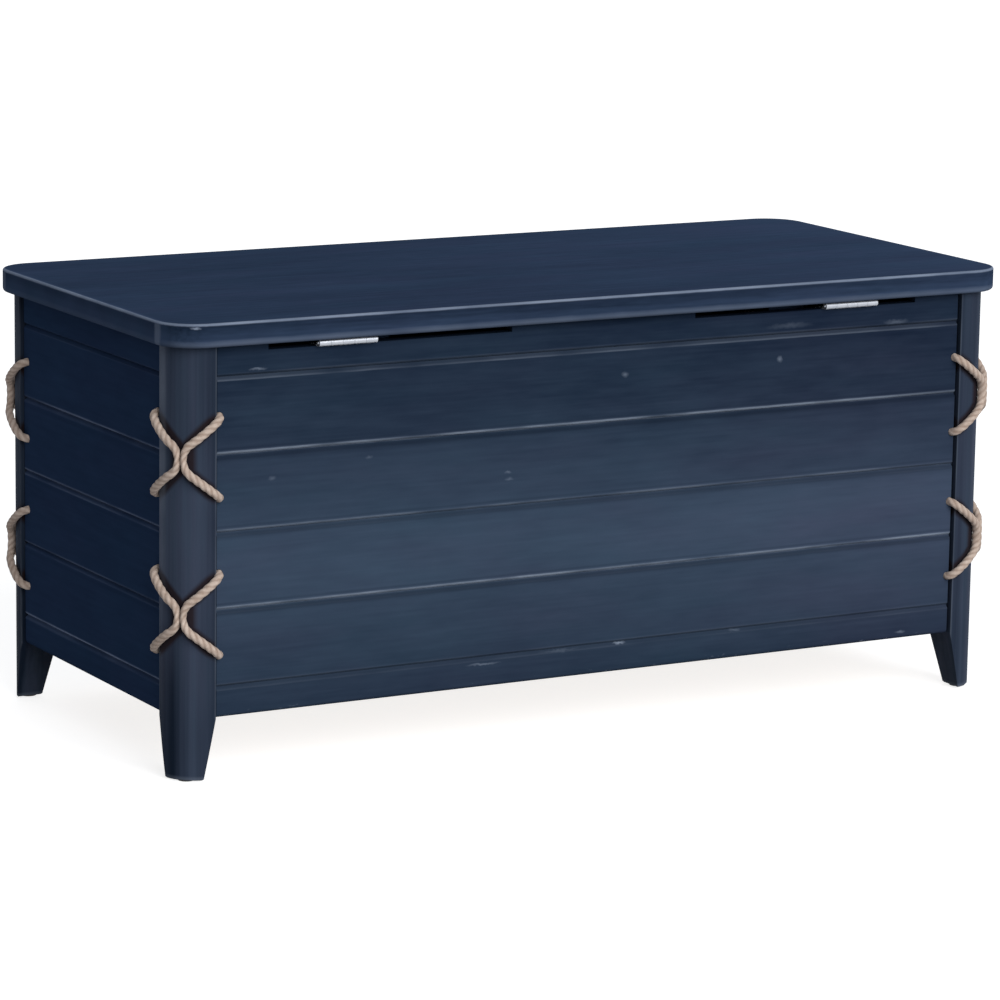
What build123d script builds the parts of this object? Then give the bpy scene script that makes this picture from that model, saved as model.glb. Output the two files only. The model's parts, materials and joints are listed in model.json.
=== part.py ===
from build123d import *
import math
import os

os.makedirs("parts", exist_ok=True)

# Overall sizes. X runs along the chest, Y from the hinge side to the opening side, Z up.
# The origin is on the floor under the middle of the chest.
lid_length = 1219.0
lid_depth = 558.0
chest_height = 570.0

# Lid slab
lid_thickness = 30.0
lid_overhang = 13.0
lid_corner_radius = 52.0
lid_top_round = 3.0
lid_low_round = 5.0
lid_seat_gap = 0.5

# Corner posts, which run down into tapered legs
post_width = 52.0
post_round = 45.0
foot_width = 36.0
foot_chamfer = 1.5
glide_radius = 10.0
glide_thickness = 2.0
glide_inset = 22.5

# Boards of the four sides, from the bottom rail up to the top rail
leg_height = 78.0
bottom_rail_height = 40.0
top_rail_height = 37.5
plank_count = 4
board_thickness = 18.0
board_recess = 5.0
shadow_gap = 3.0
joint_chamfer = 2.0
joint_bevel = 5.0
bottom_rail_round = 6.0
rail_top_chamfer = 1.0

# Tongue and groove between boards, and the end tenons in the posts
tongue_thickness = 6.0
tongue_height = 5.0
tenon_thickness = 9.0
tenon_length = 8.0
tenon_setback = 6.0
joint_clearance = 0.2

# Floor of the box
cleat_width = 18.0
floor_thickness = 9.0
floor_clearance = 0.5

# Lid battens
batten_width = 60.0
batten_thickness = 20.0
batten_inset = 286.5
batten_setback = 36.0
batten_chamfer = 4.0

# Rope lashings, two on each post
rope_diameter = 10.0
rope_sides = 6
rope_clearance = 0.6
rope_lift = 6.0
rope_slack = 8.0
rope_side_slack = 8.5
rope_bend = 8.0
rope_bend_limit = 40.0
rope_meeting_gap = 0.5
meeting_length = 26.0
meeting_offset = 1.0
long_side_hole_inset = 57.5
end_hole_inset = 66.0
lower_lashing_drops = (3.5, 9.0)
upper_lashing_drops = (1.0, 5.5)
knot_radius = 8.0
knot_length = 14.0
knot_shift = 3.0
knot_gap = 0.3
knot_tail_radius = 6.0

# Butt hinges, in long slots in the top edge of the hinge-side rail
hinge_inset = 228.5
hinge_length = 80.0
knuckle_count = 5
knuckle_radius = 4.8
knuckle_gap = 0.3
leaf_thickness = 2.0
case_leaf_depth = 22.5
lid_leaf_depth = 32.0
hinge_pin_radius = 2.0
hinge_pin_clearance = 0.05
hinge_pin_overhang = 1.2
hinge_pin_chamfer = 0.5
slot_inner_reach = 234.0
slot_outer_reach = 105.0

# Countersunk wood screws
screw_radius = 1.6
screw_head_radius = 3.6
screw_length = 13.0
screw_sides = 12
screw_clearance = 0.1
hinge_screw_spacing = 28.0
case_screw_line = 13.5
lid_screw_line = 21.0

# Lid stays: a slotted arm that turns on a lid bracket and slides on a wall stud.
# The bracket pivot and the stud stand at the same distance from the hinge line.
lid_opening = 95.0
stay_radius = 150.0
stay_spread = 20.0
pivot_drop = 12.0
arm_width = 14.0
arm_thickness = 2.5
arm_wall_gap = 3.0
stay_plate_thickness = 2.0
stay_plate_width = 18.0
stay_plate_height = 34.0
stay_plate_round = 3.0
stud_radius = 3.5
stud_clearance = 0.3
stud_head_radius = 7.0
stud_head_thickness = 2.0
side_play = 0.3
pivot_radius = 3.0
pivot_clearance = 0.1
pivot_head_radius = 5.5
pivot_head_thickness = 1.0
bracket_length = 36.0
bracket_foot = 18.0
stay_screw_spacing = 22.0
stay_screw_length = 10.0

# Rubber pads let into the rails under the lid
bumper_radius = 5.0
bumper_thickness = 2.0
bumper_clearance = 0.2
front_bumper_inset = 116.5
end_bumper_inset = 116.0

# Worked-out sizes. Insets are measured in from the outer faces of the posts.
half_length = lid_length / 2 - lid_overhang
half_depth = lid_depth / 2 - lid_overhang
lid_underside = chest_height - lid_thickness
case_top = lid_underside - lid_seat_gap
top_rail_bottom = case_top - top_rail_height
plank_bottom = leg_height + bottom_rail_height
plank_height = (top_rail_bottom - plank_bottom) / plank_count
plank_joints = [plank_bottom + plank_height * step for step in range(plank_count + 1)]
board_levels = [leg_height] + plank_joints + [case_top]
board_names = ["bottom_rail"] + [f"plank_{step + 1}" for step in range(plank_count)] + ["top_rail"]
inner_half_length = half_length - board_recess - board_thickness
inner_half_depth = half_depth - board_recess - board_thickness
hinge_middle = half_length - hinge_inset
hinge_y = -half_depth
hinge_z = lid_underside - knuckle_radius
rope_radius = rope_diameter / 2
rope_hole_radius = rope_radius + rope_clearance
corner_signs = {
    "back_left": (-1, -1),
    "back_right": (1, -1),
    "front_left": (-1, 1),
    "front_right": (1, 1),
}
lashing_drops = {plank_joints[1]: lower_lashing_drops, plank_joints[-2]: upper_lashing_drops}


def save(piece, name):
    """Label a finished piece and write it."""
    piece.part.label = name
    export_step(piece.part, f"parts/{name}.step")


def mirrored(piece, about):
    """The mirror image of a finished piece."""
    with BuildPart() as image:
        mirror(piece.part, about=about)
    return image


def save_ends(piece, name):
    """Write a piece of the left end, and its mirror image on the right end."""
    save(piece, f"left_{name}")
    save(mirrored(piece, Plane.YZ), f"right_{name}")


def save_corners(piece, name):
    """Write a piece of the back left corner, and its mirror images on the other three corners."""
    opposite = mirrored(piece, Plane.YZ)
    save(piece, f"back_left_{name}")
    save(opposite, f"back_right_{name}")
    save(mirrored(piece, Plane.XZ), f"front_left_{name}")
    save(mirrored(opposite, Plane.XZ), f"front_right_{name}")


def upper_hole(joint):
    """Height of the rope hole in the plank above a joint, a little below the plank's middle."""
    return joint + plank_height / 2 - lashing_drops[joint][0]


def lower_hole(joint):
    """Height of the rope hole in the plank below a joint, further below that plank's middle."""
    return joint - plank_height / 2 - lashing_drops[joint][1]


# Lid slab, with pilot holes for the hinge and bracket screws below it
hinge_screw_places = [
    end * hinge_middle + step * hinge_screw_spacing for end in (-1, 1) for step in (-1, 0, 1)
]
lid_hinge_screws = [(place, hinge_y + lid_screw_line) for place in hinge_screw_places]
case_hinge_screws = [(place, hinge_y + case_screw_line) for place in hinge_screw_places]

pivot_rise = hinge_z - (lid_underside - pivot_drop)
pivot_angle = math.asin(pivot_rise / stay_radius)
pivot_y = hinge_y + stay_radius * math.cos(pivot_angle)
pivot_z = hinge_z - pivot_rise
stud_angle = pivot_angle + math.radians(stay_spread)
stud_y = hinge_y + stay_radius * math.cos(stud_angle)
stud_z = hinge_z - stay_radius * math.sin(stud_angle)
arm_face = inner_half_length - arm_wall_gap
ear_face = arm_face - arm_thickness - side_play
foot_middle = ear_face - stay_plate_thickness - bracket_foot / 2
wall_screw_levels = [stud_z + step * stay_screw_spacing / 2 for step in (-1, 1)]
bracket_screws = [
    (end * foot_middle, pivot_y + step * stay_screw_spacing / 2) for end in (-1, 1) for step in (-1, 1)
]

with BuildPart() as lid_panel:
    with BuildSketch(Plane.XY.offset(lid_underside)):
        RectangleRounded(lid_length, lid_depth, lid_corner_radius)
    extrude(amount=lid_thickness)
    fillet(lid_panel.faces().sort_by(Axis.Z)[-1].edges(), radius=lid_top_round)
    fillet(lid_panel.faces().sort_by(Axis.Z)[0].edges(), radius=lid_low_round)
    with BuildSketch(Plane.XY.offset(lid_underside)):
        with Locations(*lid_hinge_screws):
            Circle(screw_radius + screw_clearance)
    extrude(amount=screw_length, mode=Mode.SUBTRACT)
    with BuildSketch(Plane.XY.offset(lid_underside)):
        with Locations(*bracket_screws):
            Circle(screw_radius + screw_clearance)
    extrude(amount=stay_screw_length, mode=Mode.SUBTRACT)
save(lid_panel, "lid_panel")

# Two battens across the underside of the lid, inside the box when it is closed
batten_length = 2 * (inner_half_depth - batten_setback)
batten_middle = half_length - batten_inset
with BuildPart() as lid_battens:
    with BuildSketch(Plane.XY.offset(lid_underside)):
        with Locations((-batten_middle, 0), (batten_middle, 0)):
            Rectangle(batten_width, batten_length)
    extrude(amount=-batten_thickness)
    chamfer(lid_battens.faces().group_by(Axis.Z)[0].edges(), length=batten_chamfer)
save(lid_battens, "lid_battens")

# Corner posts. Each has a quarter-round outer corner, a groove for the board tenons in both inner
# faces, and a leg that both inner faces taper.
groove_start = board_recess + tenon_setback - joint_clearance
groove_width = tenon_thickness + 2 * joint_clearance
groove_depth = tenon_length + 2 * joint_clearance
inner_face_x = post_width - half_length
inner_face_y = post_width - half_depth
with BuildPart() as post:
    with BuildSketch(Plane.XY.offset(glide_thickness)) as post_section:
        with Locations((inner_face_x - post_width / 2, inner_face_y - post_width / 2)):
            Rectangle(post_width, post_width)
        fillet(post_section.vertices().sort_by_distance((0, 0))[-1], radius=post_round)
    extrude(amount=case_top - glide_thickness)
    with BuildSketch(Plane.XZ):
        with BuildLine():
            Polyline(
                (inner_face_x, leg_height),
                (foot_width - half_length, glide_thickness),
                (inner_face_x, glide_thickness),
                close=True,
            )
        make_face()
    extrude(amount=half_depth, both=True, mode=Mode.SUBTRACT)
    with BuildSketch(Plane.YZ):
        with BuildLine():
            Polyline(
                (inner_face_y, leg_height),
                (foot_width - half_depth, glide_thickness),
                (inner_face_y, glide_thickness),
                close=True,
            )
        make_face()
    extrude(amount=half_length, both=True, mode=Mode.SUBTRACT)
    chamfer(post.faces().sort_by(Axis.Z)[0].edges(), length=foot_chamfer)
    with BuildSketch(Plane.XY.offset(leg_height)):
        with Locations((inner_face_x - groove_depth / 2, groove_start + groove_width / 2 - half_depth)):
            Rectangle(groove_depth, groove_width)
        with Locations((groove_start + groove_width / 2 - half_length, inner_face_y - groove_depth / 2)):
            Rectangle(groove_width, groove_depth)
    extrude(amount=case_top - leg_height, mode=Mode.SUBTRACT)
save_corners(post, "post")

# Glides nailed under the four legs, each a low round button
glide_places = [
    (end * (half_length - glide_inset), side * (half_depth - glide_inset))
    for end, side in corner_signs.values()
]
with BuildPart() as foot_glides:
    with BuildSketch():
        with Locations(*glide_places):
            Circle(glide_radius)
    extrude(amount=glide_thickness)
save(foot_glides, "foot_glides")

# Boards of the back and the left end, which the front and the right end mirror. The section is
# drawn with X into the chest from the outer face.
side_layout = {
    "back": (Vector(0, 1, 0), half_depth, half_length, long_side_hole_inset),
    "left": (Vector(1, 0, 0), half_length, half_depth, end_hole_inset),
}


def face_planes(side):
    """Section plane and drilling plane of one side, both on the outer face of its boards."""
    inward, distance, _, _ = side_layout[side]
    along = inward.cross(Vector(0, 0, 1))
    origin = inward * (board_recess - distance)
    section = Plane(origin=origin, x_dir=inward, z_dir=along)
    drilling = Plane(origin=origin, x_dir=along * -1, z_dir=inward)
    return section, drilling


def make_board(side, level):
    """One board of one side, with its tongue, groove, tenons and rope holes."""
    _, _, reach, hole_inset = side_layout[side]
    section_plane, drilling_plane = face_planes(side)
    low = board_levels[level]
    high = board_levels[level + 1]
    is_bottom = level == 0
    is_top = level == len(board_names) - 1
    shoulder = reach - post_width - shadow_gap
    tenon_end = reach - post_width + tenon_length
    tongue_middle = tenon_setback + tongue_thickness / 2
    waste_height = high - low + 4 * tongue_height
    inner_waste = board_thickness - tenon_setback - tenon_thickness
    with BuildPart() as board:
        with BuildSketch(section_plane) as section:
            with Locations((board_thickness / 2, (low + high) / 2)):
                Rectangle(board_thickness, high - low)
            outer = section.vertices().group_by(Axis.X)[0].sort_by(Axis.Y)
            chamfer(outer[-1], length=rail_top_chamfer if is_top else joint_bevel)
            outer = section.vertices().group_by(Axis.X)[0].sort_by(Axis.Y)
            if is_bottom:
                fillet(outer[0], radius=bottom_rail_round)
            else:
                chamfer(outer[0], length=joint_chamfer)
                with Locations((tongue_middle, low)):
                    Rectangle(
                        tongue_thickness + 2 * joint_clearance,
                        2 * (tongue_height + joint_clearance),
                        mode=Mode.SUBTRACT,
                    )
            if not is_top:
                with Locations((tongue_middle, high)):
                    Rectangle(tongue_thickness, 2 * tongue_height)
        extrude(amount=tenon_end, both=True)
        for direction in (-1, 1):
            with BuildSketch(section_plane.offset(direction * shoulder)):
                with Locations((tenon_setback / 2, (low + high) / 2)):
                    Rectangle(tenon_setback, waste_height)
                with Locations((board_thickness - inner_waste / 2, (low + high) / 2)):
                    Rectangle(inner_waste, waste_height)
            extrude(amount=direction * (tenon_end - shoulder), mode=Mode.SUBTRACT)
        if not is_bottom and not is_top:
            above_joint = [upper_hole(joint) for joint in lashing_drops if joint == low]
            below_joint = [lower_hole(joint) for joint in lashing_drops if joint == high]
            for hole_z in above_joint + below_joint:
                with BuildSketch(drilling_plane):
                    with Locations((hole_inset - reach, hole_z), (reach - hole_inset, hole_z)):
                        Circle(rope_hole_radius)
                extrude(amount=board_thickness, mode=Mode.SUBTRACT)
        if side == "left":
            # The drilling plane's X runs towards +Y here
            for screw_z in wall_screw_levels:
                if low - screw_radius < screw_z < high + screw_radius:
                    with BuildSketch(drilling_plane.offset(board_thickness)):
                        with Locations((stud_y, screw_z)):
                            Circle(screw_radius + screw_clearance)
                    extrude(amount=-(stay_screw_length - stay_plate_thickness), mode=Mode.SUBTRACT)
    return board


for level, board_name in enumerate(board_names[:-1]):
    back_board = make_board("back", level)
    save(back_board, f"back_{board_name}")
    save(mirrored(back_board, Plane.XZ), f"front_{board_name}")
    save_ends(make_board("left", level), board_name)

top_level = len(board_names) - 1

# Hinge-side top rail, with a long slot for each hinge and pilot holes for its screws
slot_floor = hinge_z - knuckle_radius
slot_middle = hinge_middle + (slot_outer_reach - slot_inner_reach) / 2
slot_depth = half_depth - inner_half_depth
plain_long_rail = make_board("back", top_level)
with BuildPart() as back_top_rail:
    add(plain_long_rail.part)
    with BuildSketch(Plane.XY.offset(slot_floor)):
        with Locations(*[(end * slot_middle, hinge_y + slot_depth / 2) for end in (-1, 1)]):
            Rectangle(slot_inner_reach + slot_outer_reach, slot_depth)
    extrude(amount=case_top - slot_floor, mode=Mode.SUBTRACT)
    with BuildSketch(Plane.XY.offset(slot_floor)):
        with Locations(*case_hinge_screws):
            Circle(screw_radius + screw_clearance)
    extrude(amount=-screw_length, mode=Mode.SUBTRACT)
save(back_top_rail, "back_top_rail")

# Top rails of the other sides, with shallow round recesses for the bumpers
rail_middle_y = half_depth - board_recess - board_thickness / 2
rail_middle_x = half_length - board_recess - board_thickness / 2
front_bumper_places = [(end * (half_length - front_bumper_inset), rail_middle_y) for end in (-1, 1)]
end_bumper_places = [(end * rail_middle_x, half_depth - end_bumper_inset) for end in (-1, 1)]
bumper_floor = lid_underside - bumper_thickness


def recessed_rail(plain_rail, places):
    """A top rail with a bumper recess at each place."""
    with BuildPart() as rail:
        add(plain_rail.part)
        with BuildSketch(Plane.XY.offset(bumper_floor)):
            with Locations(*places):
                Circle(bumper_radius + bumper_clearance)
        extrude(amount=case_top - bumper_floor, mode=Mode.SUBTRACT)
    return rail


plain_front_rail = mirrored(plain_long_rail, Plane.XZ)
save(recessed_rail(plain_front_rail, front_bumper_places), "front_top_rail")
save_ends(recessed_rail(make_board("left", top_level), end_bumper_places[:1]), "top_rail")

with BuildPart() as lid_bumpers:
    with BuildSketch(Plane.XY.offset(bumper_floor)):
        with Locations(*front_bumper_places, *end_bumper_places):
            Circle(bumper_radius)
    extrude(amount=bumper_thickness)
save(lid_bumpers, "lid_bumpers")

# Cleats along the bottom rails, and the floor panel that lies on them between the posts
cleat_top = leg_height + cleat_width
long_cleat_half = half_length - post_width - floor_clearance
end_cleat_half = half_depth - post_width - floor_clearance
with BuildPart() as long_cleats:
    with BuildSketch(Plane.XY.offset(leg_height)):
        with Locations(
            (0, cleat_width / 2 - inner_half_depth),
            (0, inner_half_depth - cleat_width / 2),
        ):
            Rectangle(2 * long_cleat_half, cleat_width)
    extrude(amount=cleat_width)
save(long_cleats, "long_cleats")

with BuildPart() as end_cleats:
    with BuildSketch(Plane.XY.offset(leg_height)):
        with Locations(
            (cleat_width / 2 - inner_half_length, 0),
            (inner_half_length - cleat_width / 2, 0),
        ):
            Rectangle(cleat_width, 2 * end_cleat_half)
    extrude(amount=cleat_width)
save(end_cleats, "end_cleats")

floor_half_length = inner_half_length - floor_clearance
floor_half_depth = inner_half_depth - floor_clearance
with BuildPart() as bottom_panel:
    with BuildSketch(Plane.XY.offset(cleat_top)):
        Rectangle(2 * floor_half_length, 2 * floor_half_depth)
        with Locations(*[(end * half_length, side * half_depth) for end, side in corner_signs.values()]):
            Rectangle(
                2 * (post_width + floor_clearance),
                2 * (post_width + floor_clearance),
                mode=Mode.SUBTRACT,
            )
    extrude(amount=floor_thickness)
save(bottom_panel, "bottom_panel")

# Hinges. The case leaf lies on the slot floor and the lid leaf under the lid. The knuckles of both
# share one pin on the hinge line.
knuckle_length = hinge_length / knuckle_count
pin_plane = Plane(origin=(-hinge_middle, hinge_y, hinge_z), x_dir=(0, 1, 0), z_dir=(1, 0, 0))


def make_leaf(first_knuckle, rise, depth, screw_line):
    """A leaf with every second knuckle. rise is -1 for a leaf under the pin and 1 for one over it."""
    knuckle_places = [
        knuckle_length * (step + 0.5) - hinge_middle - hinge_length / 2
        for step in range(first_knuckle, knuckle_count, 2)
    ]
    strip_middle = rise * (knuckle_radius - leaf_thickness / 2)
    plate_start = knuckle_radius + knuckle_gap
    with BuildPart() as leaf:
        plate_low = hinge_z + strip_middle - leaf_thickness / 2
        with BuildSketch(Plane.XY.offset(plate_low)):
            with Locations((-hinge_middle, hinge_y + (plate_start + depth) / 2)):
                Rectangle(hinge_length, depth - plate_start)
        extrude(amount=leaf_thickness)
        for place in knuckle_places:
            with BuildSketch(Plane(origin=(place, hinge_y, hinge_z), x_dir=(0, 1, 0), z_dir=(1, 0, 0))):
                Circle(knuckle_radius)
                with Locations((plate_start / 2, strip_middle)):
                    Rectangle(plate_start, leaf_thickness)
            extrude(amount=(knuckle_length - knuckle_gap) / 2, both=True)
        with BuildSketch(pin_plane):
            Circle(hinge_pin_radius + hinge_pin_clearance)
        extrude(amount=hinge_length / 2, both=True, mode=Mode.SUBTRACT)
        screw_plane = Plane(
            origin=(
                -hinge_middle,
                hinge_y + screw_line,
                hinge_z + rise * (knuckle_radius - leaf_thickness),
            ),
            x_dir=(1, 0, 0),
            z_dir=(0, 0, -rise),
        )
        with Locations(screw_plane):
            with GridLocations(hinge_screw_spacing, 1, 3, 1):
                CounterSinkHole(
                    radius=screw_radius + screw_clearance,
                    counter_sink_radius=screw_head_radius + screw_clearance,
                    depth=leaf_thickness,
                )
    return leaf


save_ends(make_leaf(0, -1, case_leaf_depth, case_screw_line), "hinge_case_leaf")
save_ends(make_leaf(1, 1, lid_leaf_depth, lid_screw_line), "hinge_lid_leaf")

with BuildPart() as hinge_pin:
    with BuildSketch(pin_plane):
        Circle(hinge_pin_radius)
    extrude(amount=hinge_length / 2 + hinge_pin_overhang, both=True)
    chamfer(hinge_pin.edges().filter_by(GeomType.CIRCLE), length=hinge_pin_chamfer)
save_ends(hinge_pin, "hinge_pin")


def make_screws(planes, length):
    """Countersunk screws whose heads are flush with the given planes, pointing against their normals."""
    head_height = screw_head_radius - screw_radius
    with BuildPart() as screw:
        with BuildSketch():
            RegularPolygon(screw_head_radius, screw_sides)
        with BuildSketch(Plane.XY.offset(-head_height)):
            RegularPolygon(screw_radius, screw_sides)
        loft()
        with BuildSketch(Plane.XY.offset(-head_height)):
            RegularPolygon(screw_radius, screw_sides)
        extrude(amount=head_height - length)
    with BuildPart() as screws:
        with Locations(*planes):
            add(screw.part)
    return screws


case_screw_level = slot_floor + leaf_thickness
case_screw_planes = [
    Plane(origin=(x, y, case_screw_level), z_dir=(0, 0, 1)) for x, y in case_hinge_screws
]
save(make_screws(case_screw_planes, screw_length), "hinge_case_screws")
lid_screw_level = lid_underside - leaf_thickness
lid_screw_planes = [
    Plane(origin=(x, y, lid_screw_level), z_dir=(0, 0, -1)) for x, y in lid_hinge_screws
]
save(make_screws(lid_screw_planes, screw_length), "hinge_lid_screws")

# Lid stays
closed_reach = 2 * stay_radius * math.sin(math.radians(stay_spread) / 2)
open_reach = 2 * stay_radius * math.sin(math.radians(stay_spread + lid_opening) / 2)
arm_direction = Vector(0, stud_y - pivot_y, stud_z - pivot_z).normalized()
stud_slot_radius = stud_radius + stud_clearance
outward = Vector(-1, 0, 0)
with BuildPart() as stay_arm:
    arm_plane = Plane(origin=(-arm_face, pivot_y, pivot_z), x_dir=arm_direction, z_dir=outward * -1)
    with BuildSketch(arm_plane):
        with Locations((open_reach / 2, 0)):
            SlotCenterToCenter(open_reach, arm_width)
        with Locations(((closed_reach + open_reach) / 2, 0)):
            SlotCenterToCenter(open_reach - closed_reach, 2 * stud_slot_radius, mode=Mode.SUBTRACT)
        Circle(pivot_radius + pivot_clearance, mode=Mode.SUBTRACT)
    extrude(amount=arm_thickness)
save_ends(stay_arm, "stay_arm")

# The lid bracket: a foot screwed under the lid, an ear, and the pivot rivet through the arm
with BuildPart() as lid_bracket:
    with BuildSketch(Plane(origin=(-ear_face, pivot_y, pivot_z), z_dir=outward * -1)):
        Circle(arm_width / 2)
    extrude(amount=stay_plate_thickness)
    with BuildSketch(Plane.XY.offset(pivot_z)):
        with Locations((stay_plate_thickness / 2 - ear_face, pivot_y)):
            Rectangle(stay_plate_thickness, arm_width)
    extrude(amount=pivot_drop)
    with BuildSketch(Plane.XY.offset(lid_underside - stay_plate_thickness)):
        with Locations(((bracket_foot + stay_plate_thickness) / 2 - ear_face, pivot_y)):
            Rectangle(bracket_foot + stay_plate_thickness, bracket_length)
    extrude(amount=stay_plate_thickness)
    with BuildSketch(Plane(origin=(-ear_face, pivot_y, pivot_z), z_dir=outward)):
        Circle(pivot_radius)
    extrude(amount=arm_thickness + 2 * side_play)
    head_face = ear_face + arm_thickness + 2 * side_play
    with BuildSketch(Plane(origin=(-head_face, pivot_y, pivot_z), z_dir=outward)):
        Circle(pivot_head_radius)
    extrude(amount=pivot_head_thickness)
    foot_plane = Plane(
        origin=(-foot_middle, pivot_y, lid_underside - stay_plate_thickness),
        x_dir=(1, 0, 0),
        z_dir=(0, 0, -1),
    )
    with Locations(foot_plane):
        with GridLocations(1, stay_screw_spacing, 1, 2):
            CounterSinkHole(
                radius=screw_radius + screw_clearance,
                counter_sink_radius=screw_head_radius + screw_clearance,
                depth=stay_plate_thickness,
            )
save_ends(lid_bracket, "stay_lid_bracket")

# The wall plate, screwed to the end boards, with the headed stud that the slot runs on
stud_reach = arm_wall_gap + arm_thickness + side_play
wall_plane = Plane(
    origin=(-inner_half_length, stud_y, stud_z), x_dir=(0, 1, 0), z_dir=outward * -1
)
with BuildPart() as wall_plate:
    with BuildSketch(wall_plane):
        RectangleRounded(stay_plate_width, stay_plate_height, stay_plate_round)
    extrude(amount=stay_plate_thickness)
    with BuildSketch(wall_plane):
        Circle(stud_radius)
    extrude(amount=stud_reach)
    with BuildSketch(wall_plane.offset(stud_reach)):
        Circle(stud_head_radius)
    extrude(amount=stud_head_thickness)
    with Locations(wall_plane.offset(stay_plate_thickness)):
        with GridLocations(1, stay_screw_spacing, 1, 2):
            CounterSinkHole(
                radius=screw_radius + screw_clearance,
                counter_sink_radius=screw_head_radius + screw_clearance,
                depth=stay_plate_thickness,
            )
save_ends(wall_plate, "stay_wall_plate")

bracket_screw_planes = [
    Plane(origin=(x, y, lid_underside - stay_plate_thickness), z_dir=(0, 0, -1))
    for x, y in bracket_screws
]
save(make_screws(bracket_screw_planes, stay_screw_length), "stay_lid_screws")
wall_screw_planes = [
    Plane(origin=(end * (inner_half_length - stay_plate_thickness), stud_y, screw_z), z_dir=(-end, 0, 0))
    for end in (-1, 1)
    for screw_z in wall_screw_levels
]
save(make_screws(wall_screw_planes, stay_screw_length), "stay_wall_screws")


# Rope lashings. Each has two ropes, one from the holes in the long side and one from the holes in
# the end. Both lie on the post and meet side by side over its rounded corner.
def bend_radii(points):
    """The largest bend that the runs on both sides of each point allow."""
    radii = []
    for before, here, after in zip(points, points[1:], points[2:]):
        turn = math.radians((here - before).get_angle(after - here))
        shorter = min((here - before).length, (after - here).length)
        radii.append(min(0.45 * shorter / math.tan(turn / 2), rope_bend_limit))
    radii[0] = rope_bend
    radii[-1] = rope_bend
    return radii


def rope_points(hole_inset, strand_angle, joint):
    """Points of one rope on a post, as (across its own face, out from it, up) from the round's axis.

    strand_angle is how far round the corner from the rope's own face its middle stretch stands.
    """
    hole_across = hole_inset - post_round
    start_out = post_round - board_recess - board_thickness - knot_gap - knot_length / 2
    top = upper_hole(joint)
    low = lower_hole(joint)
    middle = (top + low) / 2
    strand_radius = post_round + rope_slack
    side_angle = strand_angle / 2
    side_radius = post_round + rope_side_slack
    half_meeting = meeting_length / 2
    hole_run = hole_across + post_round * strand_angle
    side_share = post_round * (strand_angle - side_angle) / hole_run
    halves = []
    for direction, hole_z in ((1, top), (-1, low)):
        strand_z = middle + direction * half_meeting
        side_z = strand_z + (hole_z - strand_z) * side_share
        halves.append(
            [
                (-hole_across, start_out, hole_z),
                (-hole_across, post_round + rope_lift, hole_z),
                (side_radius * math.sin(side_angle), side_radius * math.cos(side_angle), side_z),
                (strand_radius * math.sin(strand_angle), strand_radius * math.cos(strand_angle), strand_z),
            ]
        )
    return halves[0] + halves[1][::-1]


meeting_half_angle = math.asin((rope_radius + rope_meeting_gap / 2) / (post_round + rope_slack))
meeting_angle = math.pi / 4 + meeting_offset / post_round
strand_angles = {
    "long": meeting_angle - meeting_half_angle,
    "end": math.pi / 2 - meeting_angle - meeting_half_angle,
}
hole_insets = {"long": long_side_hole_inset, "end": end_hole_inset}
knot_outline = ((-0.5, rope_radius), (-0.25, knot_radius), (0.25, knot_radius), (0.5, knot_tail_radius))
round_x = half_length - post_round
round_y = half_depth - post_round
with BuildPart() as lashings:
    for joint in lashing_drops:
        for face in ("long", "end"):
            route_points = []
            for across, out, up in rope_points(hole_insets[face], strand_angles[face], joint):
                x, y = (across, out) if face == "long" else (out, across)
                route_points.append(Vector(-round_x - x, -round_y - y, up))
            radii = bend_radii(route_points)
            with BuildLine() as route:
                FilletPolyline(*route_points, radius=radii)
            with BuildSketch(Plane(origin=route.line @ 0, z_dir=route.line % 0)):
                RegularPolygon(rope_radius, rope_sides)
            sweep()
            out_of_face = Vector(0, -1, 0) if face == "long" else Vector(-1, 0, 0)
            away_from_post = Vector(1, 0, 0) if face == "long" else Vector(0, 1, 0)
            for rope_end in (route_points[0], route_points[-1]):
                knot_plane = Plane(origin=rope_end + away_from_post * knot_shift, z_dir=out_of_face)
                for share, radius in knot_outline:
                    with BuildSketch(knot_plane.offset(share * knot_length)):
                        RegularPolygon(radius, rope_sides)
                loft(ruled=True)
            length = route.wires()[0].length
            bends = [round(radius, 1) for radius in radii]
            print(face, "rope length", round(length, 1), "bends", bends)
save_corners(lashings, "lashings")
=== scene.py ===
import json
import math

import bpy
from mathutils import Matrix, Vector


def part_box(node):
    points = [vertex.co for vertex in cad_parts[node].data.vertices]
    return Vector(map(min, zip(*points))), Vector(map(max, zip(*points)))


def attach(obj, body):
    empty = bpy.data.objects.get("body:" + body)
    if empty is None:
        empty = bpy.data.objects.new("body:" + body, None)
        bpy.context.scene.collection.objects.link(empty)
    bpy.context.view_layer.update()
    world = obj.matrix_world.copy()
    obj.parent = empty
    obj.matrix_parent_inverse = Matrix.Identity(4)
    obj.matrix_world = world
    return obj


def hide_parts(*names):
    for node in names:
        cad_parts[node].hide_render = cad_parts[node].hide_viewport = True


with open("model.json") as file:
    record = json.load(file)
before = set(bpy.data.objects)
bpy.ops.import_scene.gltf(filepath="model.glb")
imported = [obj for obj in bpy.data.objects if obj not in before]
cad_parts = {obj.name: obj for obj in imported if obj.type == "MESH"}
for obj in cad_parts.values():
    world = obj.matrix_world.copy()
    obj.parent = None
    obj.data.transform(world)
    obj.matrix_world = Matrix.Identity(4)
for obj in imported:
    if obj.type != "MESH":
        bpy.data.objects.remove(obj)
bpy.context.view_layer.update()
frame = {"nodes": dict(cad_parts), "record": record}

mm = 0.001

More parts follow.
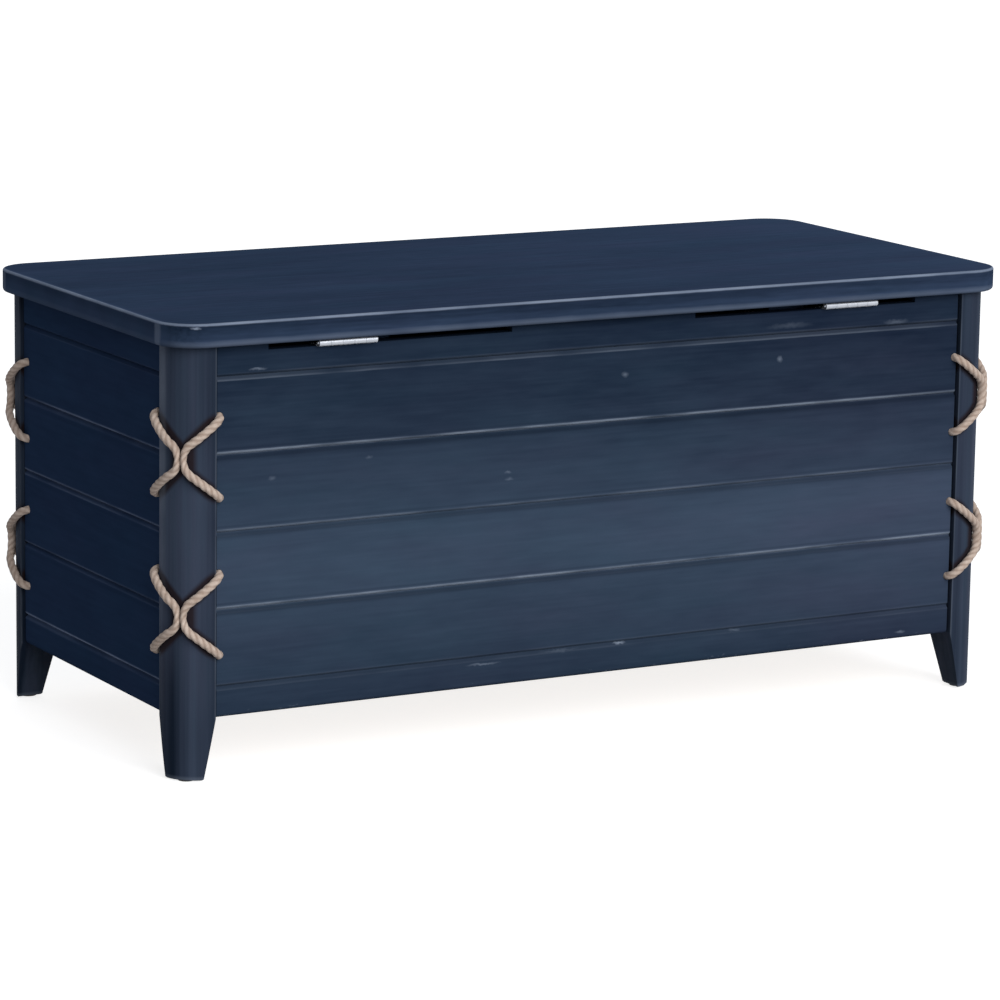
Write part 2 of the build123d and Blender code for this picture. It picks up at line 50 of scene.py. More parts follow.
# Camera, fitted to the photograph: distances in metres, lens and sensor in millimetres
camera_yaw = math.radians(-29.339)
camera_pitch = math.radians(11.214)
camera_roll = math.radians(0.881)
camera_distance = 5.924
camera_aim = Vector((0, 0, 0.25395))
camera_right_shift = -0.00094
camera_up_shift = 0.00398
camera_lens = 160.98
camera_sensor = 36

# Places read from the frame, in metres
post_low, post_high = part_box("back_left_post")
lid_low, lid_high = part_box("lid_panel")
joint_1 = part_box("back_plank_1")[0].z
plank_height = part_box("back_plank_2")[0].z - joint_1
inner_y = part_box("back_plank_1")[1].y
inner_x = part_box("left_plank_1")[1].x
rail_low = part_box("back_bottom_rail")[0].z
post_width = post_high.x - post_low.x

# The round of the lid's corners, as in the part's source
lid_corner = 52 * mm

# Rope lashings, as in the part's source. The drops are below the middles of the two planks, by the
# number of planks under the lashing's joint.
post_round = 45 * mm
rope_radius = 5.3 * mm
rope_lift = 6 * mm
rope_slack = 8 * mm
rope_side_slack = 8.5 * mm
rope_meeting = 13 * mm
meeting_offset = 0.5 * mm
rope_hole_insets = {"long": 57.5 * mm, "end": 66 * mm}
lashing_drops = {1: (3.5 * mm, 9 * mm), 3: (1 * mm, 5.5 * mm)}

# The laid rope's strands, and how it is squeezed and pressed onto the post where two ropes meet
strand_count = 3
strand_lay = 32 * mm
strand_share = 0.22
rope_squeeze = 0.72
rope_bulge = 0.6
rope_press = 1.2 * mm
squeeze_reach = 24 * mm

# How finely the rope's mesh is made
route_resolution = 12
rope_ring_step = 1.6 * mm
rope_sides = 24
weld_distance = 0.02 * mm

# Knot on each rope end inside the box, and how far out from the box's inner face the rope turns in its
# hole. The tail's bends are shares of its length: across, out and up.
rope_in_hole = 3.3 * mm
knot_turns = 1.5
knot_points = 10
knot_wrap = 7.4 * mm
knot_squeeze = 0.8
knot_depth = 16.5 * mm
knot_last_depth = 4.8 * mm
knot_shift = {"long": 7 * mm, "end": 2 * mm}
knot_rope_length = 95 * mm
knot_fade = 12 * mm
knot_tail = 19 * mm
knot_tail_bends = ((-0.5, -0.25, -0.3), (-1.0, -0.55, -0.45))

# Lights, as (direction, spread in degrees, strength). A diffuse surface that faces the key renders about
# as its colour is written.
key_light = ((0.06, -0.86, 0.42), 45, 2.45)
fill_light = ((0.45, 0.75, 0.6), 60, 0.75)
world_colour = (0.9, 0.97, 1.1, 1)
world_level = 0.20

# The floor reaches past every view. Its glow brings it up to white where nothing shades it.
floor_size = 60
floor_glow = 0.80


def look_axes():
    """Forward, right and up directions of the fitted camera."""
    cos_pitch = math.cos(camera_pitch)
    forward = Vector(
        (
            -math.sin(camera_yaw) * cos_pitch,
            math.cos(camera_yaw) * cos_pitch,
            -math.sin(camera_pitch),
        )
    )
    level_right = Vector((math.cos(camera_yaw), math.sin(camera_yaw), 0))
    level_up = level_right.cross(forward)
    right = math.cos(camera_roll) * level_right + math.sin(camera_roll) * level_up
    up = math.cos(camera_roll) * level_up - math.sin(camera_roll) * level_right
    return forward, right, up


def add_camera():
    """The camera at the photograph's viewing angle."""
    forward, right, up = look_axes()
    camera = bpy.data.objects.new("camera", bpy.data.cameras.new("camera"))
    bpy.context.scene.collection.objects.link(camera)
    camera.data.lens = camera_lens
    camera.data.sensor_width = camera_sensor
    place = camera_aim - forward * camera_distance
    place += right * camera_right_shift + up * camera_up_shift
    turn = Matrix((right, up, -forward)).transposed().to_4x4()
    camera.matrix_world = Matrix.Translation(place) @ turn
    bpy.context.scene.camera = camera


def linear(code):
    """sRGB hex colour as linear RGBA."""
    parts = [int(code[i : i + 2], 16) / 255 for i in (1, 3, 5)]
    parts = [c / 12.92 if c <= 0.04045 else ((c + 0.055) / 1.055) ** 2.4 for c in parts]
    return (*parts, 1)


def add(tree, kind, inputs=None, **settings):
    """Add one node with its settings, its input values and its links."""
    node = tree.nodes.new(kind)
    for name, value in settings.items():
        setattr(node, name, value)
    for name, value in (inputs or {}).items():
        if isinstance(value, bpy.types.Node):
            value = value.outputs[0]
        if isinstance(value, bpy.types.NodeSocket):
            tree.links.new(value, node.inputs[name])
        else:
            node.inputs[name].default_value = value
    return node


def new_material(name):
    """A new material and its empty node tree."""
    material = bpy.data.materials.new(name)
    material.use_nodes = True
    tree = material.node_tree
    tree.nodes.clear()
    return material, tree


def place_in_mm(tree):
    """Object coordinates in millimetres, whole and as x, y and z."""
    where = add(tree, "ShaderNodeTexCoord")
    place = add(
        tree, "ShaderNodeVectorMath", {0: where.outputs["Object"], "Scale": 1000}, operation="SCALE"
    )
    return place, add(tree, "ShaderNodeSeparateXYZ", {0: place})


def marks(tree, place, grain, length, width, detail=2.0):
    """Noise whose marks are this long along the grain and this wide across it, in millimetres.

    Without a grain the marks are round.
    """
    stretch = [1 / width] * 3
    if grain:
        stretch["XYZ".index(grain)] = 1 / length
    drawn = add(tree, "ShaderNodeVectorMath", {0: place, 1: stretch}, operation="MULTIPLY")
    return add(tree, "ShaderNodeTexNoise", {"Vector": drawn, "Scale": 1, "Detail": detail})


def profile(tree, distance, stops):
    """A level from 0 to 1 that changes with a distance in millimetres, through (distance, level) stops."""
    low, high = stops[0][0], stops[-1][0]
    share = add(tree, "ShaderNodeMapRange", {"Value": distance, "From Min": low, "From Max": high})
    ramp = add(tree, "ShaderNodeValToRGB", {"Fac": share})
    elements = ramp.color_ramp.elements
    for _ in stops[2:]:
        elements.new(0.5)
    for element, (where, level) in zip(elements, stops):
        element.position = (where - low) / (high - low)
        element.color = (level, level, level, 1)
    return ramp


def mixed(tree, start, patterns):
    """start changed by each pattern's share, where a pattern's middle value changes nothing."""
    total = start
    for pattern, share in patterns:
        centred = add(tree, "ShaderNodeMath", {0: pattern, 1: 0.5}, operation="SUBTRACT")
        total = add(tree, "ShaderNodeMath", {0: centred, 1: share, 2: total}, operation="MULTIPLY_ADD")
    return total


# How far the outline of a scuff wavers, in millimetres
scuff_wobble = 5

# Scuffs on the hinge side, as (along, up, length, height, strength)
board_scuffs = (
    (-487, 508, 24, 4, 0.36),
    (31, 465, 11, 9, 0.28),
    (-334, 387, 12, 5, 0.14),
    (-467, 371, 11, 6, 0.15),
    (-137, 352, 11, 4, 0.22),
    (-135, 343, 14, 4, 0.18),
    (278, 512, 70, 8, 0.1),
    (444, 506, 40, 8, 0.2),
    (264, 469, 9, 9, 0.32),
    (-169, 108, 50, 3.5, 0.3),
    (-58, 114, 70, 4, 0.14),
    (32, 115, 20, 3.5, 0.7),
    (206, 115, 20, 4, 0.22),
    (466, 87, 18, 4, 0.3),
)
lid_scuffs = ((-577, 565, 15, 3.5, 0.7),)


def scuffed(tree, place, parts, scuffs):
    """How far the hinge side is scuffed, from (along, up, length, height, strength) in millimetres."""
    wobble = marks(tree, place, None, 6, 6)
    bent = add(
        tree,
        "ShaderNodeVectorMath",
        {0: wobble.outputs["Color"], 1: [scuff_wobble] * 3, 2: place},
        operation="MULTIPLY_ADD",
    )
    most = None
    for along, up, length, height, strength in scuffs:
        stretch = (2 / length, 0, 2 / height)
        moved = [-(m + scuff_wobble / 2) * s for m, s in zip((along, 0, up), stretch)]
        shape = add(
            tree, "ShaderNodeVectorMath", {0: bent, 1: stretch, 2: moved}, operation="MULTIPLY_ADD"
        )
        reach = add(tree, "ShaderNodeVectorMath", {0: shape}, operation="LENGTH")
        mark = add(
            tree,
            "ShaderNodeMapRange",
            {
                "Value": reach.outputs["Value"],
                "From Min": 1.1,
                "From Max": 0.1,
                "To Max": strength,
            },
        )
        if most is None:
            most = mark
        else:
            most = add(tree, "ShaderNodeMath", {0: most, 1: mark}, operation="MAXIMUM")
    hinge_side = profile(tree, parts.outputs["Y"], ((-280, 1.0), (-258, 1.0), (-254, 0), (280, 0)))
    return add(tree, "ShaderNodeMath", {0: most, 1: hinge_side}, operation="MULTIPLY")


# Mineral chalk paint on pine, brushed on and rubbed back. It gives the eye a flat, dull navy with fine
# streaks along each board, a faint turn of hue from purple to green, pale lines where the arrises
# are rubbed to the undercoat, partly painted highlights and painted light, painted light and shade by
# height, and painted shade at the joints and beside the ropes. The colours are deep, pale and undercoat.
purple_turn = "#fff0f5"
green_turn = "#ecfffc"
long_board_colours = ("#1a2638", "#465569", "#9aa6b8")
# The end boards' colours are the long boards' navy painted deeper and bluer, as painted shade
shaded_end_board_colours = ("#1d2a42", "#354968", "#98a6c4")
post_colours = ("#18212f", "#525c70", "#99a4b4")
lid_colours = ("#1a2536", "#455673", "#9aa6ba")


def paint_shader(tree, place, grain, rubbing_and_painted_light, wear_and_painted_light, hue, colours, painted_shade=None, gloss=0.0):
    """Chalk paint from deep to pale by rubbing and painted light and shade, with painted shade on it, and
    turned to its undercoat colour by wear and painted light.

    painted_shade is how much painted shade there is and its colour.
    """
    deep, pale, undercoat = [linear(code) for code in colours]
    face = add(tree, "ShaderNodeMixRGB", {"Fac": rubbing_and_painted_light, "Color1": deep, "Color2": pale})
    tint = add(
        tree,
        "ShaderNodeMixRGB",
        {"Fac": hue, "Color1": linear(purple_turn), "Color2": linear(green_turn)},
    )
    face = add(
        tree, "ShaderNodeMixRGB", {"Fac": 1.0, "Color1": face, "Color2": tint}, blend_type="MULTIPLY"
    )
    if painted_shade:
        amount, code = painted_shade
        face = add(tree, "ShaderNodeMixRGB", {"Fac": amount, "Color1": face, "Color2": linear(code)})
    face = add(tree, "ShaderNodeMixRGB", {"Fac": wear_and_painted_light, "Color1": face, "Color2": undercoat})
    # Brush marks 1.6 mm wide, coarser than real bristles leave so that they show, on slow waves
    bristles = marks(tree, place, grain, 70, 1.6, 3)
    waves = marks(tree, place, grain, 160, 14, 1)
    height = mixed(tree, 0.5, ((bristles, 0.5), (waves, 1.0)))
    relief = add(tree, "ShaderNodeBump", {"Height": height, "Strength": 0.35, "Distance": 0.25 * mm})
    dull = mixed(tree, 0.62, ((bristles, 0.16), (waves, 0.2)))
    return add(
        tree,
        "ShaderNodeBsdfPrincipled",
        {
            "Base Color": face,
            "Roughness": dull,
            "Specular IOR Level": gloss,
            "Normal": relief,
        },
    )


# How far a board's pattern is moved on from that of the board below it, in millimetres
board_shift = (431, 197, 0)

# The pale line where the bevel of the board below a joint ends, and painted light over the rest of that
# bevel, by the distance up from the joint
bevel_line_levels = (
    (-14, 0), (-7, 0), (-5.8, 0.75), (-4.8, 0.6), (-3.8, 0.25), (0.5, 0.25), (1.5, 0), (14, 0),
)


def board_places(tree, place, height):
    """Each board's own pattern place, the number of the nearest joint, and the distance up from it."""
    level = add(
        tree,
        "ShaderNodeMapRange",
        {
            "Value": height,
            "From Min": joint_1 / mm,
            "From Max": (joint_1 + plank_height) / mm,
        },
        clamp=False,
    )
    board = add(tree, "ShaderNodeMath", {0: level}, operation="FLOOR")
    nearest = add(tree, "ShaderNodeMath", {0: level}, operation="ROUND")
    off = add(tree, "ShaderNodeMath", {0: level, 1: nearest}, operation="SUBTRACT")
    off = add(tree, "ShaderNodeMath", {0: off, 1: plank_height / mm}, operation="MULTIPLY")
    shift = add(tree, "ShaderNodeVectorMath", {0: board_shift, "Scale": board}, operation="SCALE")
    own = add(tree, "ShaderNodeVectorMath", {0: place, 1: shift}, operation="ADD")
    return own, nearest, off


def board_rubbing_and_painted_light(tree, own, parts, grain, painted_light_by_height):
    """How pale the boards are: rubbed, with streaks along them and soft clouds, and painted light and
    shade by height.
    """
    height = parts.outputs["Z"]
    # Painted light and shade by height: paler on the middle boards, darker under the lid and at the foot
    rubbing_and_painted_light = profile(tree, height, painted_light_by_height)
    long_streaks = marks(tree, own, grain, 150, 4.5, 3)
    short_streaks = marks(tree, own, grain, 45, 9, 2)
    clouds = marks(tree, own, grain, 130, 45, 1)
    rubbing_and_painted_light = mixed(tree, rubbing_and_painted_light, ((long_streaks, 0.22), (short_streaks, 0.20), (clouds, 0.26)))
    # Toward one end the two lower boards are rubbed more than the rest, and the upper ones less
    toward = profile(tree, parts.outputs["X"], ((-600, 0), (-150, 0), (300, 0.9), (600, 1.0)))
    more = profile(tree, height, ((78, 0.5), (125, 0.63), (295, 0.61), (325, 0.43), (540, 0.43)))
    more = add(tree, "ShaderNodeMath", {0: more, 1: 0.5}, operation="SUBTRACT")
    return add(tree, "ShaderNodeMath", {0: more, 1: toward, 2: rubbing_and_painted_light}, operation="MULTIPLY_ADD")


def joint_wear_and_painted_light(tree, own, grain, nearest, off, line_levels, line_joints, bevel_line_joints):
    """Patchy pale lines at the joints, rubbed paint and painted light: on the arris of the board above,
    and over the bevel of the board below, brightest where it ends.
    """
    line = profile(tree, off, line_levels)
    strength = profile(tree, nearest, line_joints)
    line = add(tree, "ShaderNodeMath", {0: line, 1: strength}, operation="MULTIPLY")
    low_line = profile(tree, off, bevel_line_levels)
    low_strength = profile(tree, nearest, bevel_line_joints)
    low_line = add(tree, "ShaderNodeMath", {0: low_line, 1: low_strength}, operation="MULTIPLY")
    line = add(tree, "ShaderNodeMath", {0: line, 1: low_line}, operation="MAXIMUM")
    patchy = marks(tree, own, grain, 110, 300, 2)
    patches = add(
        tree,
        "ShaderNodeMapRange",
        {"Value": patchy, "From Min": 0.34, "From Max": 0.6, "To Min": 0.25, "To Max": 1.0},
    )
    return add(tree, "ShaderNodeMath", {0: line, 1: patches}, operation="MULTIPLY")


def rail_wear(tree, own, grain, height):
    """Specks of bare undercoat along the lower edge of the bottom rail."""
    specks = marks(tree, own, grain, 14, 5, 3)
    specks = add(tree, "ShaderNodeMapRange", {"Value": specks, "From Min": 0.66, "From Max": 0.76})
    low = rail_low / mm
    edge = profile(tree, height, ((low - 1, 0.8), (low + 4, 0.35), (low + 9, 0)))
    return add(tree, "ShaderNodeMath", {0: specks, 1: edge}, operation="MULTIPLY")


def board_paint(
    name,
    grain,
    colours,
    groove_shade_colour,
    painted_light_by_height,
    line_levels,
    line_joints,
    bevel_line_joints,
    groove_shade_levels,
    scuffs,
):
    """Chalk paint on the boards of one pair of sides.

    The levels go by the height or by the distance up from a joint, the joints by the joint's number.
    """
    material, tree = new_material(name)
    place, parts = place_in_mm(tree)
    height = parts.outputs["Z"]
    own, nearest, off = board_places(tree, place, height)
    waver = marks(tree, own, grain, 25, 25, 2)
    off = mixed(tree, off, ((waver, 0.9),))
    rubbing_and_painted_light = board_rubbing_and_painted_light(tree, own, parts, grain, painted_light_by_height)
    lines = joint_wear_and_painted_light(tree, own, grain, nearest, off, line_levels, line_joints, bevel_line_joints)
    specks = rail_wear(tree, own, grain, height)
    wear_and_painted_light = add(tree, "ShaderNodeMath", {0: lines, 1: specks}, operation="MAXIMUM")
    if scuffs:
        marked = scuffed(tree, place, parts, scuffs)
        wear_and_painted_light = add(tree, "ShaderNodeMath", {0: wear_and_painted_light, 1: marked}, operation="MAXIMUM")
    # Painted shade at each joint, mostly just below it, stronger at some joints than at others
    painted_shade = profile(tree, off, groove_shade_levels)
    groove_shade_share = profile(tree, nearest, ((0, 0.2), (1, 1.0), (2, 0.8), (3, 1.0), (4, 0.1)))
    painted_shade = add(tree, "ShaderNodeMath", {0: painted_shade, 1: groove_shade_share}, operation="MULTIPLY")
    # The paint turns a little purple toward one end of the long boards
    hue = marks(tree, own, grain, 190, 55, 3)
    turning = profile(tree, parts.outputs["X"], ((-600, 0.5), (80, 0.5), (420, 0.2), (600, 0.26)))
    hue = mixed(tree, hue, ((turning, 1.0),))
    shader = paint_shader(tree, own, grain, rubbing_and_painted_light, wear_and_painted_light, hue, colours, (painted_shade, groove_shade_colour))
    add(tree, "ShaderNodeOutputMaterial", {"Surface": shader})
    return material


def make_long_board_paint():
    """Navy chalk paint on the boards of the two long sides, with painted light and shade by height: palest
    on the second board up, darkest under the lid.
    """
    return board_paint(
        "chalk_paint_long_boards",
        "X",
        long_board_colours,
        "#0e1624",
        # Painted light and shade: palest on the second board up, darkest under the lid
        painted_light_by_height=(
            (78, 0.27), (116, 0.37), (125, 0.41), (165, 0.49), (212, 0.61), (220, 0.67), (265, 0.74),
            (308, 0.64), (314, 0.57), (355, 0.5), (404, 0.36), (410, 0.3), (450, 0.23), (500, 0.18),
            (540, 0.12),
        ),
        # A rubbed line on the lower arris of the board above each joint, partly painted light
        line_levels=(
            (-12, 0), (-2.0, 0), (-0.8, 0.35), (0.4, 0.95), (2.0, 0.75), (3.2, 0.15), (4.4, 0), (12, 0),
        ),
        line_joints=((0, 0.1), (1, 1.0), (2, 0.42), (3, 0.9), (4, 0.12)),
        bevel_line_joints=((0, 0.08), (1, 0.04), (2, 0.04), (3, 0), (4, 0.28)),
        # Painted shade, mostly just below each joint
        groove_shade_levels=(
            (-12, 0), (-9, 0.08), (-6, 0.45), (-3.6, 0.4), (-1.6, 0.1), (-0.5, 0), (4, 0), (6, 0.2),
            (8, 0), (12, 0),
        ),
        scuffs=board_scuffs,
    )


def make_end_board_paint():
    """Chalk paint on the boards of the two ends, painted deeper and bluer than on the long boards as
    painted shade.
    """
    return board_paint(
        "chalk_paint_end_boards",
        "Y",
        shaded_end_board_colours,
        "#0d1628",
        painted_light_by_height=((78, 0.5), (540, 0.42)),
        # A rubbed line on the arris above each joint, and painted light over the bevel below it
        line_levels=(
            (-14, 0), (-7.5, 0), (-5.5, 0.12), (-2.2, 0.14), (-0.2, 0.85), (1.8, 0.75), (3.0, 0.15),
            (4.2, 0), (14, 0),
        ),
        line_joints=((0, 1.0), (1, 0.3), (2, 0.5), (3, 0.55), (4, 0.06)),
        bevel_line_joints=((0, 0.1), (1, 0.12), (2, 0.22), (3, 0.05), (4, 0.06)),
        # Painted shade a little below the bevel under each joint
        groove_shade_levels=((-14, 0), (-11, 0.12), (-8.5, 0.1), (-6.5, 0), (14, 0)),
        scuffs=(),
    )


# Where a rope crosses its post, seen as the difference of the insets from the post's two outer faces,
# in millimetres: its place beside the middle of the round, and how far out it slants for each one up
rope_beside_middle = 5.6
rope_slant = 1.375


def post_insets(tree, place):
    """How far in a place lies from its post's end face and from its long face."""
    away = add(tree, "ShaderNodeVectorMath", {0: place}, operation="ABSOLUTE")
    away = add(tree, "ShaderNodeSeparateXYZ", {0: away})
    return [
        add(tree, "ShaderNodeMath", {0: -outer / mm, 1: away.outputs[axis]}, operation="SUBTRACT")
        for axis, outer in (("X", post_low.x), ("Y", post_low.y))
    ]


def post_rubbing_and_painted_light(tree, place, parts, from_end_face):
    """How pale the posts' paint is: rubbed, with streaks up them, a painted highlight where the round
    leaves the end face, and painted light and shade by height.
    """
    up = parts.outputs["Z"]
    # Painted highlight: paler where the round leaves the end face
    rubbing_and_painted_light = profile(
        tree,
        from_end_face,
        (
            (0, 0.76), (0.6, 0.66), (1.8, 0.57), (3.4, 0.46), (12, 0.47), (24, 0.47), (34, 0.4),
            (52, 0.33),
        ),
    )
    # Painted light and shade by height: paler at mid-height, darker toward the foot and the lid
    by_height = profile(
        tree,
        up,
        ((0, 0.42), (78, 0.42), (160, 0.48), (260, 0.53), (350, 0.52), (440, 0.42), (540, 0.36)),
    )
    streaks = marks(tree, place, "Z", 260, 5, 2)
    broad = marks(tree, place, "Z", 500, 16, 1)
    clouds = marks(tree, place, "Z", 90, 60, 1)
    rubbing_and_painted_light = mixed(tree, rubbing_and_painted_light, ((by_height, 1.0), (streaks, 0.32), (broad, 0.42), (clouds, 0.15)))
    # Painted shade: the outer side of the two left legs is painted darker, most near the foot
    shade_side = profile(tree, from_end_face, ((0, 1.0), (5, 0.8), (12, 0.1), (20, 0), (52, 0)))
    shade_height = profile(tree, up, ((0, 0.48), (120, 0.4), (200, 0.1), (300, 0), (540, 0)))
    shade_end = profile(tree, parts.outputs["X"], ((-600, 1.0), (-400, 1.0), (400, 0), (600, 0)))
    dark = add(tree, "ShaderNodeMath", {0: shade_side, 1: shade_height}, operation="MULTIPLY")
    dark = add(tree, "ShaderNodeMath", {0: dark, 1: shade_end}, operation="MULTIPLY")
    return add(tree, "ShaderNodeMath", {0: rubbing_and_painted_light, 1: dark}, operation="SUBTRACT")


def post_wear_and_highlight(tree, place, up, from_end_face, from_long_face, end_shade_factor):
    """Pale lines on the inner arrises, a painted highlight where the round leaves the end face, worn feet.
    """
    arrises = []
    for across, out in ((from_end_face, from_long_face), (from_long_face, from_end_face)):
        back = add(tree, "ShaderNodeMath", {0: out, 1: across}, operation="SUBTRACT")
        back = add(tree, "ShaderNodeMath", {0: back, 1: post_width / mm}, operation="ADD")
        arrises.append(profile(tree, back, ((0, 0.14), (1.4, 0.1), (2.4, 0))))
    # Painted highlight where the round leaves the end face, on the upper part of the posts
    band = profile(tree, from_end_face, ((0, 0.26), (0.4, 0.24), (1.2, 0.05), (2, 0)))
    high = profile(tree, up, ((180, 0.0), (330, 0.9), (540, 1.0)))
    band = add(tree, "ShaderNodeMath", {0: band, 1: high}, operation="MULTIPLY")
    band = add(tree, "ShaderNodeMath", {0: band, 1: end_shade_factor}, operation="MULTIPLY")
    foot = profile(tree, up, ((1, 0.4), (4, 0.2), (8, 0)))
    wear_and_painted_light = add(tree, "ShaderNodeMath", {0: arrises[0], 1: arrises[1]}, operation="MAXIMUM")
    wear_and_painted_light = add(tree, "ShaderNodeMath", {0: wear_and_painted_light, 1: band}, operation="MAXIMUM")
    wear_and_painted_light = add(tree, "ShaderNodeMath", {0: wear_and_painted_light, 1: foot}, operation="MAXIMUM")
    patchy = marks(tree, place, "Z", 70, 300, 2)
    patches = add(
        tree,
        "ShaderNodeMapRange",
        {"Value": patchy, "From Min": 0.3, "From Max": 0.65, "To Min": 0.3, "To Max": 1.0},
    )
    return add(tree, "ShaderNodeMath", {0: wear_and_painted_light, 1: patches}, operation="MULTIPLY")


def painted_rope_shadow(tree, up, from_end_face, from_long_face):
    """Painted shadow, dark brown, beside the ropes, which run over the round as a V up and a V down from
    its middle.
    """
    from_middle = add(
        tree, "ShaderNodeMath", {0: from_end_face, 1: from_long_face}, operation="SUBTRACT"
    )
    from_middle = add(tree, "ShaderNodeMath", {0: from_middle}, operation="ABSOLUTE")
    rope_shadows = []
    for level, drops in lashing_drops.items():
        middle_z = joint_1 + level * plank_height - sum(drops) / 2
        rise = add(tree, "ShaderNodeMath", {0: up, 1: middle_z / mm}, operation="SUBTRACT")
        rise = add(tree, "ShaderNodeMath", {0: rise}, operation="ABSOLUTE")
        slanted = add(tree, "ShaderNodeMath", {0: rise, 1: rope_meeting / mm}, operation="SUBTRACT")
        slanted = add(tree, "ShaderNodeMath", {0: slanted, 1: 0.0}, operation="MAXIMUM")
        rope_at = add(
            tree,
            "ShaderNodeMath",
            {0: slanted, 1: rope_slant, 2: rope_beside_middle},
            operation="MULTIPLY_ADD",
        )
        beside = add(tree, "ShaderNodeMath", {0: from_middle, 1: rope_at}, operation="SUBTRACT")
        beside = profile(
            tree, beside, ((-21, 0), (-15, 0.5), (-11.5, 0.8), (11.5, 0.8), (15, 0.5), (21, 0))
        )
        near = profile(tree, rise, ((0, 1.0), (48, 1.0), (60, 0)))
        rope_shadows.append(add(tree, "ShaderNodeMath", {0: beside, 1: near}, operation="MULTIPLY"))
    return add(tree, "ShaderNodeMath", {0: rope_shadows[0], 1: rope_shadows[1]}, operation="MAXIMUM")


def make_post_paint():
    """Chalk paint on the posts, brushed and rubbed lengthwise, more than on the boards."""
    material, tree = new_material("chalk_paint_posts")
    place, parts = place_in_mm(tree)
    up = parts.outputs["Z"]
    from_end_face, from_long_face = post_insets(tree, place)
    # Painted shade: the end faces of the two posts on the opening side are painted darker than the rest
    end_face_shade = profile(tree, from_end_face, ((0, 0.25), (1, 0.3), (5, 0.55), (8, 0.95), (52, 1.0)))
    hinge_side = profile(tree, parts.outputs["Y"], ((-266, 1.0), (-150, 1.0), (150, 0), (266, 0)))
    end_shade_factor = add(tree, "ShaderNodeMath", {0: end_face_shade, 1: hinge_side}, operation="MAXIMUM")
    rubbing_and_painted_light = post_rubbing_and_painted_light(tree, place, parts, from_end_face)
    rubbing_and_painted_light = add(tree, "ShaderNodeMath", {0: rubbing_and_painted_light, 1: end_shade_factor}, operation="MULTIPLY")
    wear_and_painted_light = post_wear_and_highlight(tree, place, up, from_end_face, from_long_face, end_shade_factor)
    # Painted shadow beside the ropes
    painted_shade = painted_rope_shadow(tree, up, from_end_face, from_long_face)
    hue = marks(tree, place, "Z", 190, 14, 2)
    shader = paint_shader(
        tree, place, "Z", rubbing_and_painted_light, wear_and_painted_light, hue, post_colours, painted_shade=(painted_shade, "#22140f"), gloss=0.02
    )
    add(tree, "ShaderNodeOutputMaterial", {"Surface": shader})
    return material


def lid_inset(tree, away):
    """How far in a place lies from the lid's outline, round its corners too."""
    corner = lid_corner / mm
    core = (lid_high.x / mm - corner, lid_high.y / mm - corner, 0)
    past = add(tree, "ShaderNodeVectorMath", {0: away, 1: core}, operation="SUBTRACT")
    past = add(tree, "ShaderNodeVectorMath", {0: past, 1: (1, 1, 0)}, operation="MULTIPLY")
    outside = add(tree, "ShaderNodeVectorMath", {0: past, 1: (0, 0, 0)}, operation="MAXIMUM")
    round_part = add(tree, "ShaderNodeVectorMath", {0: outside}, operation="LENGTH")
    past = add(tree, "ShaderNodeSeparateXYZ", {0: past})
    inside = add(
        tree, "ShaderNodeMath", {0: past.outputs["X"], 1: past.outputs["Y"]}, operation="MAXIMUM"
    )
    inside = add(tree, "ShaderNodeMath", {0: inside, 1: 0.0}, operation="MINIMUM")
    reach = add(
        tree, "ShaderNodeMath", {0: round_part.outputs["Value"], 1: inside}, operation="ADD"
    )
    return add(tree, "ShaderNodeMath", {0: corner, 1: reach}, operation="SUBTRACT")


def corner_highlight(tree, away, inset, waver):
    """A painted highlight: an upright pale line where the round of each corner leaves the end face."""
    turned = add(
        tree, "ShaderNodeMath", {0: away.outputs["X"], 1: away.outputs["Y"]}, operation="SUBTRACT"
    )
    turned = add(
        tree, "ShaderNodeMath", {0: turned, 1: (lid_high.x - lid_high.y) / mm}, operation="SUBTRACT"
    )
    turned = mixed(tree, turned, ((waver, 3.0),))
    painted_corner_highlight = profile(tree, turned, ((-60, 0), (34, 0), (40, 0.26), (48, 0.3), (53, 0), (60, 0)))
    outer = profile(tree, inset, ((0, 1.0), (3, 1.0), (5, 0)))
    return add(tree, "ShaderNodeMath", {0: painted_corner_highlight, 1: outer}, operation="MULTIPLY")


